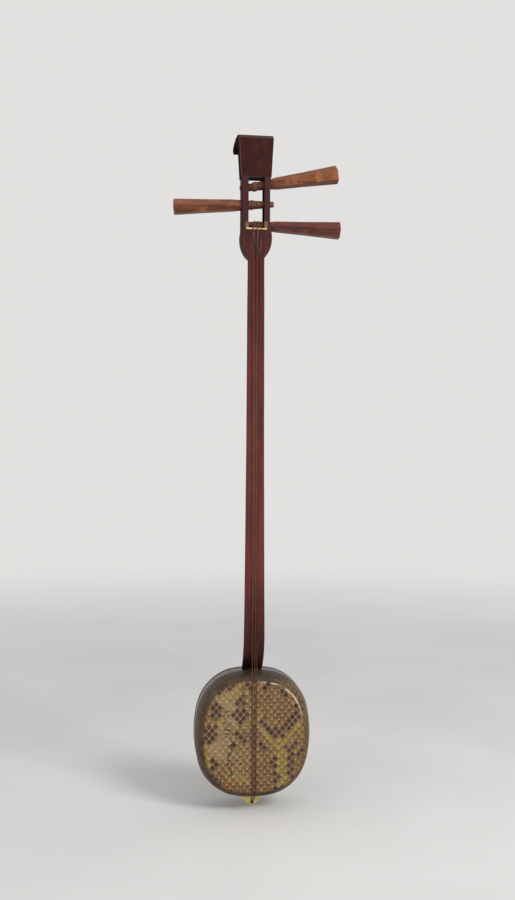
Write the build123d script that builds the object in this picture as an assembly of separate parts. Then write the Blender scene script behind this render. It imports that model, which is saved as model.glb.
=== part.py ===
from build123d import *
import math
import os

# Three-string long-necked lute, upright, strings towards -Y, millimetres.
# The origin is under the heel, in the middle of the fingerboard plane,
# where the arms of a wall yoke carry the instrument.

# Driving dimensions: heights along the neck
NUT_Z = 41.0
SLOT_LIP_Z = 42.6
SLOT_FLOOR_Z = 38.0
HEAD_Z = 114.0
DRUM_Z = -665.0

# Driving dimensions: peg box and heel
CHEEK_LEFT = 20.5
CHEEK_RIGHT = 19.2
BOX_DEPTH = 24.0
SLOT_WIDTH = 22.4
LIP_DEPTH = 4.2
HEEL_Z = 29.0
HEEL_HALF_WIDTH = 22.0
HEEL_HALF_HEIGHT = 32.0
HEEL_DEPTH = 28.0
HEEL_BACK_RADIUS = 7.0
BOX_EDGE_RADIUS = 1.4

# Driving dimensions: neck sections from heel to foot as (height, width, depth)
NECK_SECTIONS = [
    (16.0, 22.5, 20.0),
    (-58.0, 23.3, 20.5),
    (-266.0, 24.3, 22.0),
    (-474.0, 27.0, 24.5),
    (-498.0, 27.4, 25.7),
    (-520.0, 27.8, 27.7),
]
FOOT_SECTIONS = [
    (-520.0, 27.8, 27.7),
    (-533.0, 28.0, 30.0),
    (-546.0, 28.1, 32.9),
    (-559.0, 28.3, 36.4),
    (-571.0, 28.4, 40.2),
    (-582.0, 28.5, 44.2),
]
NECK_SIDE_SHARE = 0.36
NECK_EDGE_RADIUS = 1.2
FOOT_CURVE_Z = -520.0
FOOT_CURVE_RADIUS = 69.0
TANG_WIDTH = 16.0
TANG_DEPTH = 14.0

# Driving dimensions: head
HEAD_HALF_WIDTH = 14.65
HEAD_FLARE_UP = 0.055
HEAD_FLARE_START = 12.0
HEAD_FLARE_RADIUS = 100.0
HEAD_FLARE_REACH = 34.0
HEAD_THICKNESS = 24.0

# Driving dimensions: nut
NUT_WIDTH = 29.2
NUT_HEIGHT = 2.2
NUT_PROUD = 1.1
NUT_SEAT = 2.2
NUT_CROWN = 0.8
SEAT_GAP = 0.02

# Driving dimensions: pegs
PEG_Y = 10.5
PEG_HOLE_CLEARANCE = 0.05
PEG_STRING_HOLE = 1.1
PEG_NECK_GAP = 1.5
PEG_TIP_HEIGHT = 1.1
PEG_TIP_CHAMFER = 0.7
PEG_HOLE_PLACE = 0.8
HANDLE_STEP = 0.9
HANDLE_WAIST = 0.44
HANDLE_ROUND_SHARE = 0.42
BORE_OVERRUN = 14.0
# name, height, side of the handle, tilt up towards the handle, handle length,
# corner radius of the handle's end, turn of its facets, length beyond the far cheek,
# shaft radius at the handle and how much it tapers for each millimetre
PEGS = [
    ("top", 102.2, 1, 10.5, 96.5, 12.8, 46.0, 2.1, 7.0, 0.062),
    ("middle", 76.4, -1, -3.4, 92.5, 11.4, 1.0, 6.2, 7.4, 0.074),
    ("bottom", 47.4, 1, -1.5, 98.5, 12.6, -2.0, -2.3, 6.6, 0.055),
]

# Driving dimensions: drum
DRUM_HALF_WIDTH = 82.5
DRUM_HALF_HEIGHT = 89.5
CORNER_RADIUS = 66.0
CORNER_START = 14.0
CORNER_END = 80.0
DRUM_DEPTH = 66.0
FACE_INSET = 13.0
SHOULDER_RADIUS = 9.0
SHOULDER_TURN = 72.0
SKIN = 0.9
SKIN_GAP = 0.02
SKIN_SEAT = 0.04
SKIN_LAP = 21.0
RIM_WIDTH = 6.0
MID_WALL = 14.0

# Driving dimensions: strings, tail button and knot
# name, diameter, place across the nut, over the drum's lower edge and on the bottom peg
STRINGS = [
    ("string_thick", 1.3, -4.8, -3.1, -2.6),
    ("string_medium", 1.1, 0.7, 0.0, 1.6),
    ("string_thin", 0.9, 6.1, 3.0, 5.2),
]
TIE_SPREAD = 0.43
STRING_CLEARANCE = 0.06
SKIN_CLEARANCE = 0.45
WINDING_TURNS = 3
WINDING_CLEARANCE = 0.05
RING_CLEARANCE = 0.3
VALLEY_SHARE = 0.5
RIDGE_SHARE = 0.22
OLD_STRING = 1.02
# first turn's place across and number of turns left on the two upper pegs
OLD_TURNS = {"top": (-4.4, 6), "middle": (-6.2, 2)}
BUTTON_RADIUS = 15.0
BUTTON_DEPTH = 14.0
BUTTON_EDGE_RADIUS = 2.6
BUTTON_RISE = 3.0
KNOT_RADIUS = 2.1
KNOT_WIDTH_SHARE = 1.15
KNOT_DEPTH_SHARE = 0.55
KNOT_GAP = 0.45
TIE_DROP = 9.4
TIE_GAP = 1.4

MID_Y = DRUM_DEPTH / 2
HALF_SLOT = SLOT_WIDTH / 2


def box_between(x0, x1, y0, y1, z0, z1):
    """A block between two opposite corners."""
    block = Box(x1 - x0, y1 - y0, z1 - z0)
    return Pos((x0 + x1) / 2, (y0 + y1) / 2, (z0 + z1) / 2) * block


# The drum's outline: four broad arcs and four tangent corner arcs

def solve_side_radii():
    """Radii of the side and end arcs that meet the corner arcs tangentially."""
    cb = math.cos(math.radians(CORNER_START))
    sb = math.sin(math.radians(CORNER_START))
    cg = math.cos(math.radians(CORNER_END))
    sg = math.sin(math.radians(CORNER_END))
    p = CORNER_RADIUS * (cb - cg) - DRUM_HALF_WIDTH
    q = CORNER_RADIUS * (sb - sg) + DRUM_HALF_HEIGHT
    det = (cb - 1) * (1 - sg) + cg * sb
    side = (p * (1 - sg) + cg * q) / det
    end = ((cb - 1) * q - sb * p) / det
    return side, end


SIDE_RADIUS, END_RADIUS = solve_side_radii()
CORNER_X = (END_RADIUS - CORNER_RADIUS) * math.cos(math.radians(CORNER_END))
CORNER_Z = (SIDE_RADIUS - CORNER_RADIUS) * math.sin(math.radians(CORNER_START))


def outline_arcs():
    """The eight arcs as (centre x, centre z, radius, start angle, end angle)."""
    side_x = DRUM_HALF_WIDTH - SIDE_RADIUS
    end_z = DRUM_HALF_HEIGHT - END_RADIUS
    corner = [CORNER_START, CORNER_END]
    arcs = [(side_x, 0.0, SIDE_RADIUS, -corner[0], corner[0])]
    arcs.append((CORNER_X, CORNER_Z, CORNER_RADIUS, corner[0], corner[1]))
    arcs.append((0.0, end_z, END_RADIUS, corner[1], 180 - corner[1]))
    arcs.append((-CORNER_X, CORNER_Z, CORNER_RADIUS, 180 - corner[1], 180 - corner[0]))
    arcs.append((-side_x, 0.0, SIDE_RADIUS, 180 - corner[0], 180 + corner[0]))
    arcs.append((-CORNER_X, -CORNER_Z, CORNER_RADIUS, 180 + corner[0], 180 + corner[1]))
    arcs.append((0.0, -end_z, END_RADIUS, 180 + corner[1], 360 - corner[1]))
    arcs.append((CORNER_X, -CORNER_Z, CORNER_RADIUS, 360 - corner[1], 360 - corner[0]))
    return arcs


def wall_points(offset):
    """Inset and depth of the wall's outer line, moved in by offset along its normal."""
    turn = math.radians(SHOULDER_TURN)
    radius = SHOULDER_RADIUS - offset
    flat = (FACE_INSET, offset)
    half = (FACE_INSET - radius * math.sin(turn / 2), SHOULDER_RADIUS - radius * math.cos(turn / 2))
    shoulder = (FACE_INSET - radius * math.sin(turn), SHOULDER_RADIUS - radius * math.cos(turn))
    return flat, half, shoulder


def bulge_inset(depth, offset):
    """Inset of the bulging wall at a depth, between the shoulder and the mid-depth."""
    shoulder = wall_points(offset)[2]
    reach = MID_Y - shoulder[1]
    sagitta = shoulder[0] - offset
    bulge = (reach * reach + sagitta * sagitta) / (2 * sagitta)
    return offset + bulge - math.sqrt(bulge * bulge - (MID_Y - depth) ** 2)


def mirror_depth(point, flip):
    """The same place measured from the back of the drum when flip is true."""
    if flip:
        return (point[0], DRUM_DEPTH - point[1])
    return point


def revolved(edges_at, arc, start, end):
    """Turn a section, given as a function of the arc's radius, from start to end degrees."""
    cx, cz, radius = arc[0], arc[1], arc[2]
    section = make_face(edges_at(radius))
    axis = Axis((0, 0, 0), (0, -1, 0))
    solid = revolve(section.rotate(axis, start), axis, end - start)
    return Pos(cx, 0, DRUM_Z + cz) * solid


def wall_line(radius, offset, flip, last_depth):
    """Edges of the wall's outer line from the flat face to a depth."""
    flat, half, shoulder = [mirror_depth(p, flip) for p in wall_points(offset)]
    far = mirror_depth((bulge_inset(last_depth, offset), last_depth), flip)
    mid_depth = (wall_points(offset)[2][1] + last_depth) / 2
    mid = mirror_depth((bulge_inset(mid_depth, offset), mid_depth), flip)
    pts = [(radius - p[0], p[1]) for p in (flat, half, shoulder, mid, far)]
    first = ThreePointArc(pts[0], pts[1], pts[2])
    second = ThreePointArc(pts[2], pts[3], pts[4])
    return [first, second], pts[0], pts[4]


def skin_section(radius, flip):
    """The rim of a skin: over the shoulder and part of the way down the wall."""
    outer, outer_flat, outer_end = wall_line(radius, 0.0, flip, SKIN_LAP)
    inner, inner_flat, inner_end = wall_line(radius, SKIN, flip, SKIN_LAP)
    return outer + inner + [Line(outer_flat, inner_flat), Line(outer_end, inner_end)]


def frame_section(radius):
    """A stave: bulging outside, hollowed inside, flat on both rims."""
    offset = SKIN + SKIN_GAP
    front, front_flat, front_end = wall_line(radius, offset, False, MID_Y)
    back, back_flat, back_end = wall_line(radius, offset, True, MID_Y)
    rim = radius - FACE_INSET - RIM_WIDTH
    middle = radius - MID_WALL
    hollow = ThreePointArc((rim, offset), (middle, MID_Y), (rim, DRUM_DEPTH - offset))
    caps = [Line((rim, offset), front_flat), Line((rim, DRUM_DEPTH - offset), back_flat)]
    return front + back + caps + [hollow]


def face_outline(y):
    """The flat face of the drum as a sketch at depth y, inside its rounded shoulder."""
    edges = []
    for cx, cz, radius, start, end in outline_arcs():
        angles = [math.radians(a) for a in (start, (start + end) / 2, end)]
        reach = radius - FACE_INSET
        pts = [(cx + reach * math.cos(a), y, DRUM_Z + cz + reach * math.sin(a)) for a in angles]
        edges.append(ThreePointArc(*pts))
    return make_face(edges)


def make_skin(flip):
    """A skin: a flat face and a rim lapped over the shoulder, one wet-formed sheet."""
    y = DRUM_DEPTH if flip else 0.0
    direction = (0, -1, 0) if flip else (0, 1, 0)
    skin = extrude(face_outline(y), amount=SKIN, dir=direction)
    for arc in outline_arcs():
        skin += revolved(lambda r: skin_section(r, flip), arc, arc[3], arc[4])
    return skin


def make_stave(first, middle, last):
    """One stave of the frame: half a corner, a broad side and half a corner."""
    arcs = outline_arcs()
    half_first = (arcs[first][3] + arcs[first][4]) / 2
    half_last = (arcs[last][3] + arcs[last][4]) / 2
    stave = revolved(frame_section, arcs[middle], arcs[middle][3], arcs[middle][4])
    stave += revolved(frame_section, arcs[first], half_first, arcs[first][4])
    stave += revolved(frame_section, arcs[last], arcs[last][3], half_last)
    return stave


def end_envelope(top, gap):
    """The drum's end as a solid cutter, its outside a little proud of the wood."""
    arc = outline_arcs()[2 if top else 6]

    def section(radius):
        offset = SKIN + SKIN_GAP - gap
        front, front_flat, front_end = wall_line(radius, offset, False, MID_Y)
        back, back_flat, back_end = wall_line(radius, offset, True, MID_Y)
        deep = radius - 60
        corners = [Line(front_flat, (deep, offset)), Line((deep, offset), (deep, DRUM_DEPTH - offset))]
        return front + back + corners + [Line((deep, DRUM_DEPTH - offset), back_flat)]

    return revolved(section, arc, arc[3], arc[4])


# Neck, heel and peg box, one carved stick

def foot_front(z):
    """How far the neck's front has curved back at a height."""
    fall = FOOT_CURVE_Z - z
    if fall <= 0:
        return 0.0
    return FOOT_CURVE_RADIUS - math.sqrt(FOOT_CURVE_RADIUS ** 2 - fall ** 2)


def neck_section(z, width, depth):
    """A flat-fronted section with upright sides and a rounded back."""
    half = width / 2
    front = foot_front(z)
    side = front + NECK_SIDE_SHARE * (depth - front)
    edge = NECK_EDGE_RADIUS
    cut = edge * (1 - math.sqrt(0.5))
    right = half - cut
    low = front + edge
    with BuildSketch(Plane.XY.offset(z)) as sketch:
        with BuildLine():
            Line((-half + edge, front), (half - edge, front))
            ThreePointArc((half - edge, front), (right, front + cut), (half, low))
            Line((half, low), (half, side))
            EllipticalCenterArc((0, side), half, depth - side, start_angle=0, arc_size=180)
            Line((-half, side), (-half, low))
            ThreePointArc((-half, low), (-right, front + cut), (-half + edge, front))
        make_face()
    return sketch.sketch


def make_heel_and_box():
    """The rounded heel and the two cheeks with the open slot between them."""
    ellipse = Pos(0, 0, HEEL_Z) * Rot(90, 0, 0) * Ellipse(HEEL_HALF_WIDTH, HEEL_HALF_HEIGHT)
    heel = extrude(ellipse, amount=HEEL_DEPTH, dir=(0, 1, 0))
    back = heel.edges().filter_by(lambda e: abs(e.center().Y - HEEL_DEPTH) < 0.01)
    heel = fillet(back, HEEL_BACK_RADIUS)
    front = heel.edges().filter_by(lambda e: abs(e.center().Y) < 0.01)
    heel = fillet(front, NECK_EDGE_RADIUS)
    box = box_between(-CHEEK_LEFT, CHEEK_RIGHT, 0, BOX_DEPTH, HEEL_Z, HEAD_Z)
    box = fillet(box.edges().filter_by(Axis.Z), BOX_EDGE_RADIUS)
    body = heel + box
    past = 2 * BOX_DEPTH
    body -= box_between(-HALF_SLOT, HALF_SLOT, -past, past, SLOT_LIP_Z, HEAD_Z + past)
    body -= box_between(-HALF_SLOT, HALF_SLOT, LIP_DEPTH, past, SLOT_FLOOR_Z, HEAD_Z)
    return body


def make_neck():
    """The whole stick from the cheeks to the tang, with its bores and seats."""
    shaft = loft([neck_section(*s) for s in NECK_SECTIONS], ruled=True)
    shaft += loft([neck_section(*s) for s in FOOT_SECTIONS])
    shaft -= end_envelope(True, SKIN_SEAT)
    tang_end = DRUM_Z - DRUM_HALF_HEIGHT + SKIN + 0.6
    tang = box_between(-TANG_WIDTH / 2, TANG_WIDTH / 2, MID_Y - TANG_DEPTH / 2,
                       MID_Y + TANG_DEPTH / 2, tang_end, DRUM_Z + DRUM_HALF_HEIGHT)
    neck = shaft + make_heel_and_box() + tang
    seat = NUT_WIDTH / 2
    neck -= box_between(-seat, seat, -1, NUT_SEAT + SEAT_GAP,
                        NUT_Z - NUT_HEIGHT / 2 - SEAT_GAP, NUT_Z + NUT_HEIGHT / 2 + SEAT_GAP)
    for peg in PEGS:
        neck -= peg_place(peg) * peg_cone(peg, PEG_HOLE_CLEARANCE, BORE_OVERRUN)
    return neck


def make_nut():
    """A bone bar, flat underneath and crowned where the strings bear."""
    half = NUT_WIDTH / 2 - SEAT_GAP
    bar = box_between(-half, half, -NUT_PROUD, NUT_SEAT, NUT_Z - NUT_HEIGHT / 2, NUT_Z + NUT_HEIGHT / 2)
    front = bar.edges().filter_by(Axis.X).group_by(Axis.Y)[0]
    return fillet(front, NUT_CROWN)


# Head, a thick shovel-shaped board that ends in a backward curl

def head_plan(z):
    """The head's width seen from above: straight at the front, flared towards the curl."""
    half = HEAD_HALF_WIDTH + HEAD_FLARE_UP * z
    radius = HEAD_FLARE_RADIUS
    flare = [(half, HEAD_FLARE_START)]
    for run in (HEAD_FLARE_REACH / 2, HEAD_FLARE_REACH):
        flare.append((half + radius - math.sqrt(radius ** 2 - run ** 2), HEAD_FLARE_START + run))
    mirrored = [(-x, y) for x, y in flare]
    with BuildSketch(Plane.XY.offset(z)) as plan:
        with BuildLine():
            Line((half, -HEAD_FLARE_START), flare[0])
            ThreePointArc(*flare)
            Line(flare[2], mirrored[2])
            ThreePointArc(*reversed(mirrored))
            Line(mirrored[0], (-half, -HEAD_FLARE_START))
            Line((-half, -HEAD_FLARE_START), (half, -HEAD_FLARE_START))
        make_face()
    return plan.sketch


def make_head():
    """Extrude the hooked side profile, then trim both sides to their flare."""
    with BuildSketch(Plane.YZ) as profile:
        with BuildLine():
            Line((0, HEAD_Z), (0, 164.5))
            ThreePointArc((0, 164.5), (0.9, 167.2), (3.0, 169.3))
            Spline((3.0, 169.3), (18.0, 176.2), (34.0, 173.6), (43.6, 164.0), (43.0, 155.6),
                   tangents=[(1, 0.72), (-0.35, -1)])
            Line((43.0, 155.6), (40.2, 156.4))
            Spline((40.2, 156.4), (37.0, 163.2), (30.5, 165.6), (25.6, 160.0), (24.6, 148.0),
                   tangents=[(-0.1, 1), (0, -1)])
            Line((24.6, 148.0), (HEAD_THICKNESS, HEAD_Z))
            Line((HEAD_THICKNESS, HEAD_Z), (0, HEAD_Z))
        make_face()
    head = extrude(profile.sketch, amount=36, both=True)
    below, above = HEAD_Z - 10, HEAD_Z + 80
    return head & loft([head_plan(below), head_plan(above)], ruled=True)


# Pegs, each built along its own axis: local +Z points to the handle

def peg_place(peg):
    """Where a peg's own frame lies in the instrument."""
    name, height, side, tilt = peg[:4]
    angle = math.radians(tilt)
    direction = Vector(side * math.cos(angle), 0, math.sin(angle))
    return Plane(origin=(0, PEG_Y, height), x_dir=(0, -1, 0), z_dir=direction).location


def peg_ends(peg):
    """Where the shaft ends, measured from the middle: its free tip and the handle's shoulder."""
    side, beyond = peg[2], peg[7]
    near, far = (CHEEK_RIGHT, CHEEK_LEFT) if side > 0 else (CHEEK_LEFT, CHEEK_RIGHT)
    return -(far + beyond), near + PEG_NECK_GAP


def peg_radius(peg, s):
    """Radius of the tapered shaft at a distance s from the middle, towards the handle."""
    root, taper = peg[8:]
    return root - taper * (peg_ends(peg)[1] - s)


def peg_cone(peg, extra, reach):
    """The tapered shaft, grown by extra, or a bore cutter longer by reach at both ends."""
    low, high = peg_ends(peg)
    low -= reach
    high += reach
    cone = Cone(peg_radius(peg, low) + extra, peg_radius(peg, high) + extra, high - low)
    return Pos(0, 0, (low + high) / 2) * cone


def hexagon_at(z, corner_radius, turn):
    """A six-sided section of a handle, its corner turned from the viewer's side."""
    return Pos(0, 0, z) * Rot(0, 0, turn) * RegularPolygon(corner_radius, 6)


def make_peg(peg):
    """A hand-cut peg: tapered shaft, facets that fade in, a low pyramid on the end."""
    name, height, side, tilt, length, end_radius, turn, beyond, shaft_root, taper = peg
    start = peg_ends(peg)[1]
    end = start + length
    middle = start + 0.5 * length
    root = shaft_root + HANDLE_STEP
    waist = root + HANDLE_WAIST * (end_radius - root)
    tip_radius = 0.1 * end_radius
    stations = [(start, root), (middle, waist), (end, end_radius), (end + PEG_TIP_HEIGHT, tip_radius)]
    handle = loft([hexagon_at(z, r, turn) for z, r in stations], ruled=True)
    round_reach = HANDLE_ROUND_SHARE * length
    envelope = Pos(0, 0, start + round_reach / 2) * Cone(shaft_root, end_radius, round_reach)
    envelope += Pos(0, 0, start + round_reach + length / 2) * Cylinder(end_radius + 1, length)
    handle = handle & envelope
    shaft = peg_cone(peg, 0.0, 0.0)
    shaft = chamfer(shaft.edges().group_by(Axis.Z)[0], PEG_TIP_CHAMFER)
    body = handle + shaft
    hole = Rot(0, 90, 0) * Cylinder(PEG_STRING_HOLE, 4 * shaft_root)
    body -= Pos(0, 0, side * PEG_HOLE_PLACE) * hole
    return peg_place(peg) * body


def winding_turns(peg):
    """The turns on one peg as (place along the peg, diameter), from tip to handle."""
    turns = []
    if peg[0] in OLD_TURNS:
        first_x, count = OLD_TURNS[peg[0]]
        turns = [(peg[2] * (first_x + k * OLD_STRING), OLD_STRING) for k in range(count)]
    else:
        for name, diameter, nut_x, edge_x, peg_x in STRINGS:
            turns += [(peg[2] * (peg_x + k * diameter), diameter) for k in range(WINDING_TURNS)]
    return sorted(turns)


def make_winding(peg):
    """All the turns on one peg: a sleeve round the shaft with one ridge for each turn."""
    outer = []
    for place, diameter in winding_turns(peg):
        base = peg_radius(peg, place) + WINDING_CLEARANCE
        valley = base + VALLEY_SHARE * diameter
        outer.append((valley, 0, place - diameter / 2))
        outer.append((base + diameter, 0, place - RIDGE_SHARE * diameter))
        outer.append((base + diameter, 0, place + RIDGE_SHARE * diameter))
        outer.append((valley, 0, place + diameter / 2))
    inner = [(peg_radius(peg, z) + WINDING_CLEARANCE, 0, z) for z in (outer[-1][2], outer[0][2])]
    section = make_face(Polyline(*outer, *inner, close=True))
    return peg_place(peg) * revolve(section, Axis.Z)


# Strings, from the tie on the tail button over the drum's lower edge and the nut to the bottom peg

TIE = Vector(0, MID_Y - BUTTON_DEPTH / 2 - TIE_GAP, DRUM_Z - DRUM_HALF_HEIGHT - TIE_DROP)


def tangent_angle(first, second):
    """Angle of a tight line that passes in front of two circles, each (y, z, radius)."""
    dy = second[0] - first[0]
    dz = second[1] - first[1]
    return math.atan2(dz, dy) + math.asin((second[2] - first[2]) / math.hypot(dy, dz))


def touch_point(circle, angle):
    """Where a line at that angle touches the front of a circle."""
    return circle[0] - circle[2] * math.sin(angle), circle[1] + circle[2] * math.cos(angle)


def line_corner(circle, angle_in, angle_out):
    """Where the lines before and after a circle would cross."""
    half_turn = (angle_out - angle_in) / 2
    reach = circle[2] / math.cos(half_turn)
    middle = (angle_in + angle_out) / 2
    return circle[0] - reach * math.sin(middle), circle[1] + reach * math.cos(middle)


def make_string(spec):
    """One string along its real route, bent round the edges it is pulled over."""
    name, diameter, nut_x, edge_x, peg_x = spec
    half = diameter / 2
    place = peg_place(PEGS[2])
    end_x = peg_x + diameter
    centre = place.position + place.z_axis.direction * end_x
    tie = (TIE.Y, TIE.Z, 0.0)
    edge_z = DRUM_Z - DRUM_HALF_HEIGHT + FACE_INSET
    edge = (SHOULDER_RADIUS, edge_z, SHOULDER_RADIUS + half + SKIN_CLEARANCE)
    crown = NUT_HEIGHT / 2 - NUT_CROWN
    nut = (NUT_CROWN - NUT_PROUD, NUT_Z + crown, NUT_CROWN + half + STRING_CLEARANCE)
    ring = (centre.Y, centre.Z, peg_radius(PEGS[2], end_x) + 1.5 * diameter + RING_CLEARANCE)
    angles = [tangent_angle(tie, edge), tangent_angle(edge, nut), tangent_angle(nut, ring)]
    points = [Vector(edge_x * TIE_SPREAD, tie[0], tie[1])]
    points.append(Vector(edge_x, *line_corner(edge, angles[0], angles[1])))
    points.append(Vector(nut_x, *line_corner(nut, angles[1], angles[2])))
    points.append(Vector(end_x, *touch_point(ring, angles[2])))
    path = FilletPolyline(*points, radius=[edge[2], nut[2]])
    start = Plane(origin=points[0], z_dir=(points[1] - points[0]).normalized())
    string = sweep(start * Circle(half), path=path)
    print(name, "length", round(path.length, 1), "section times length",
          round(math.pi * half * half * path.length, 1), "volume", round(string.volume, 1))
    return string


def make_knot():
    """The knot on the button's front, a flattened bead pulled against the bone."""
    bead = scale(Sphere(KNOT_RADIUS), by=(KNOT_WIDTH_SHARE, KNOT_DEPTH_SHARE, 1.0))
    return Pos(TIE.X, TIE.Y, TIE.Z - KNOT_RADIUS - KNOT_GAP) * bead


def make_button():
    """A half-round bone disc, its flat side hollowed to sit on the drum's lower edge."""
    centre_z = DRUM_Z - DRUM_HALF_HEIGHT + SKIN + 0.4
    disc = Rot(90, 0, 0) * Cylinder(BUTTON_RADIUS, BUTTON_DEPTH)
    disc = fillet(disc.edges(), BUTTON_EDGE_RADIUS)
    disc = Pos(0, MID_Y, centre_z) * disc
    reach = 2 * BUTTON_RADIUS
    disc &= box_between(-reach, reach, 0, DRUM_DEPTH, centre_z - reach, centre_z + BUTTON_RISE)
    return disc - end_envelope(False, SKIN_SEAT)


def make_parts():
    """Every separate piece by its node name."""
    parts = {"neck": make_neck(), "head": make_head(), "nut": make_nut()}
    for peg in PEGS:
        parts["peg_" + peg[0]] = make_peg(peg)
        parts["winding_" + peg[0]] = make_winding(peg)
    tang_hole = box_between(-TANG_WIDTH / 2 - 0.05, TANG_WIDTH / 2 + 0.05,
                            MID_Y - TANG_DEPTH / 2 - 0.05, MID_Y + TANG_DEPTH / 2 + 0.05,
                            DRUM_Z - 2 * DRUM_HALF_HEIGHT, DRUM_Z + 2 * DRUM_HALF_HEIGHT)
    parts["frame_top"] = make_stave(1, 2, 3) - tang_hole
    parts["frame_left"] = make_stave(3, 4, 5)
    parts["frame_bottom"] = make_stave(5, 6, 7) - tang_hole
    parts["frame_right"] = make_stave(7, 0, 1)
    parts["front_skin"] = make_skin(False)
    parts["back_skin"] = make_skin(True)
    parts["tail_button"] = make_button()
    parts["string_knot"] = make_knot()
    for spec in STRINGS:
        parts[spec[0]] = make_string(spec)
    return parts


os.makedirs("parts", exist_ok=True)
for node, shape in make_parts().items():
    export_step(shape, "parts/" + node + ".step")
    box = shape.bounding_box()
    print(node, round(shape.volume, 1), [round(v, 1) for v in (*box.min, *box.max)])
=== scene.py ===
# %% [markdown]
# # A three-string long-necked lute, dressed for the camera
# The instrument is a long red-brown stick with an open peg slot and a curled head,
# three hand-cut pegs, silk strings, and a rounded drum with snakeskin on both faces.
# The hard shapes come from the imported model. This lesson gives them their wood, bone,
# silk and skin, and adds the turns of string, the tie and the camera.

# %% Load the fixed frame
import math
import random

import bmesh
import bpy
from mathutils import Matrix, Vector, noise


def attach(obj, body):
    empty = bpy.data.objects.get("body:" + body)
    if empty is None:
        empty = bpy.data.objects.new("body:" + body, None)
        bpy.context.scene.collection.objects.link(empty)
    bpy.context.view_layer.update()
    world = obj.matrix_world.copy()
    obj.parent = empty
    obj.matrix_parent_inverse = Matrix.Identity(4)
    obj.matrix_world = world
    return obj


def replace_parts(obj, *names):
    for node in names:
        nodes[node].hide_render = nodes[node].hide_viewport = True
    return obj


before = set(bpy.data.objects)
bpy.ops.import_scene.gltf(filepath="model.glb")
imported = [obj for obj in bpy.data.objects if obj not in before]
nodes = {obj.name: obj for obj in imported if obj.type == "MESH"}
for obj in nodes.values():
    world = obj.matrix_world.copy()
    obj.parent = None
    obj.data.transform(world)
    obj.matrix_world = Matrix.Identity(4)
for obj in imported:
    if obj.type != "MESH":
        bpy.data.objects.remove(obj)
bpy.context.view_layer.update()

# %% [markdown]
# The photograph was taken from the front with a long lens at the height of the neck's
# middle, a little to the left of the instrument, which leans a fraction of a degree.
# A camera on the level at that height keeps the neck's sides parallel. Its place is
# worked out from where the drum and the head fall in the picture.

# %% Camera
scene = bpy.context.scene
scene.view_settings.view_transform = "Standard"
CAMERA_HEIGHT = -0.2665
CAMERA_DISTANCE = 1.32
CAMERA_SIDE = math.radians(-7.5)
CAMERA_ROLL = math.radians(0.25)
AIM = Vector((0.0027, 0.0, CAMERA_HEIGHT))

camera_data = bpy.data.cameras.new("camera")
camera_data.sensor_fit = "VERTICAL"
camera_data.sensor_height = 36.0
camera_data.lens = 38.0
camera = bpy.data.objects.new("camera", camera_data)
scene.collection.objects.link(camera)
camera.location = AIM + CAMERA_DISTANCE * Vector((math.sin(CAMERA_SIDE), -math.cos(CAMERA_SIDE), 0))
look = (AIM - camera.location).to_track_quat("-Z", "Y").to_matrix().to_4x4()
camera.matrix_world = look
camera.location = AIM + CAMERA_DISTANCE * Vector((math.sin(CAMERA_SIDE), -math.cos(CAMERA_SIDE), 0))
camera.rotation_euler.rotate_axis("Z", CAMERA_ROLL)
scene.camera = camera
print("camera at", tuple(round(v, 3) for v in camera.location))

# %% [markdown]
# Every finish below is a formula: how wood streaks along the grain, where a scale ends.
# Nodes can be joined by hand, but a formula reads more easily as a sum. This small class
# wraps one socket of a node, so that a plus or a times between two values adds the node.

# %% Values as expressions
class Value:
    """A node's output that can be added, multiplied and compared like a number."""

    def __init__(self, shader, socket):
        self.shader = shader
        self.socket = socket

    def out(self, name):
        return Value(self.shader, self.socket.node.outputs[name])

    def join(self, operation, first, second):
        pair = (first, second)
        vector = any(isinstance(v, Value) and v.socket.type in ("VECTOR", "RGBA") for v in pair)
        if vector:
            pair = [(v, v, v) if isinstance(v, (int, float)) else v for v in pair]
        kind = "ShaderNodeVectorMath" if vector else "ShaderNodeMath"
        return self.shader.add(kind, {"operation": operation}, {0: pair[0], 1: pair[1]})

    def __add__(self, other):
        return self.join("ADD", self, other)

    def __radd__(self, other):
        return self.join("ADD", other, self)

    def __sub__(self, other):
        return self.join("SUBTRACT", self, other)

    def __rsub__(self, other):
        return self.join("SUBTRACT", other, self)

    def __mul__(self, other):
        return self.join("MULTIPLY", self, other)

    def __rmul__(self, other):
        return self.join("MULTIPLY", other, self)

    def __truediv__(self, other):
        return self.join("DIVIDE", self, other)

    def __pow__(self, other):
        return self.join("POWER", self, other)

    def most(self, other):
        return self.join("MAXIMUM", self, other)

    def least(self, other):
        return self.join("MINIMUM", self, other)

    def over(self, limit):
        return self.join("GREATER_THAN", self, limit)

    def apply(self, operation):
        return self.shader.add("ShaderNodeMath", {"operation": operation}, {0: self})

    def ramp(self, low, high, start=0.0, end=1.0):
        """A soft step from start to end while the value goes from low to high."""
        sockets = {"Value": self, "From Min": low, "From Max": high, "To Min": start, "To Max": end}
        return self.shader.add("ShaderNodeMapRange", {"interpolation_type": "SMOOTHSTEP"}, sockets)


# %% [markdown]
# A material is a workbench that hands out nodes. One method adds any node: its type, its
# settings, then the values or links of its sockets. The rest are the few helpers that
# every finish needs: colours written as they look on a screen, mixing, noise and bump.

# %% The material workbench
def paint(red, green, blue):
    """A colour given as it looks on a screen, 0 to 255, as light."""
    shown = [c / 255 for c in (red, green, blue)]
    return tuple(c / 12.92 if c <= 0.04045 else ((c + 0.055) / 1.055) ** 2.4 for c in shown) + (1.0,)


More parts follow.
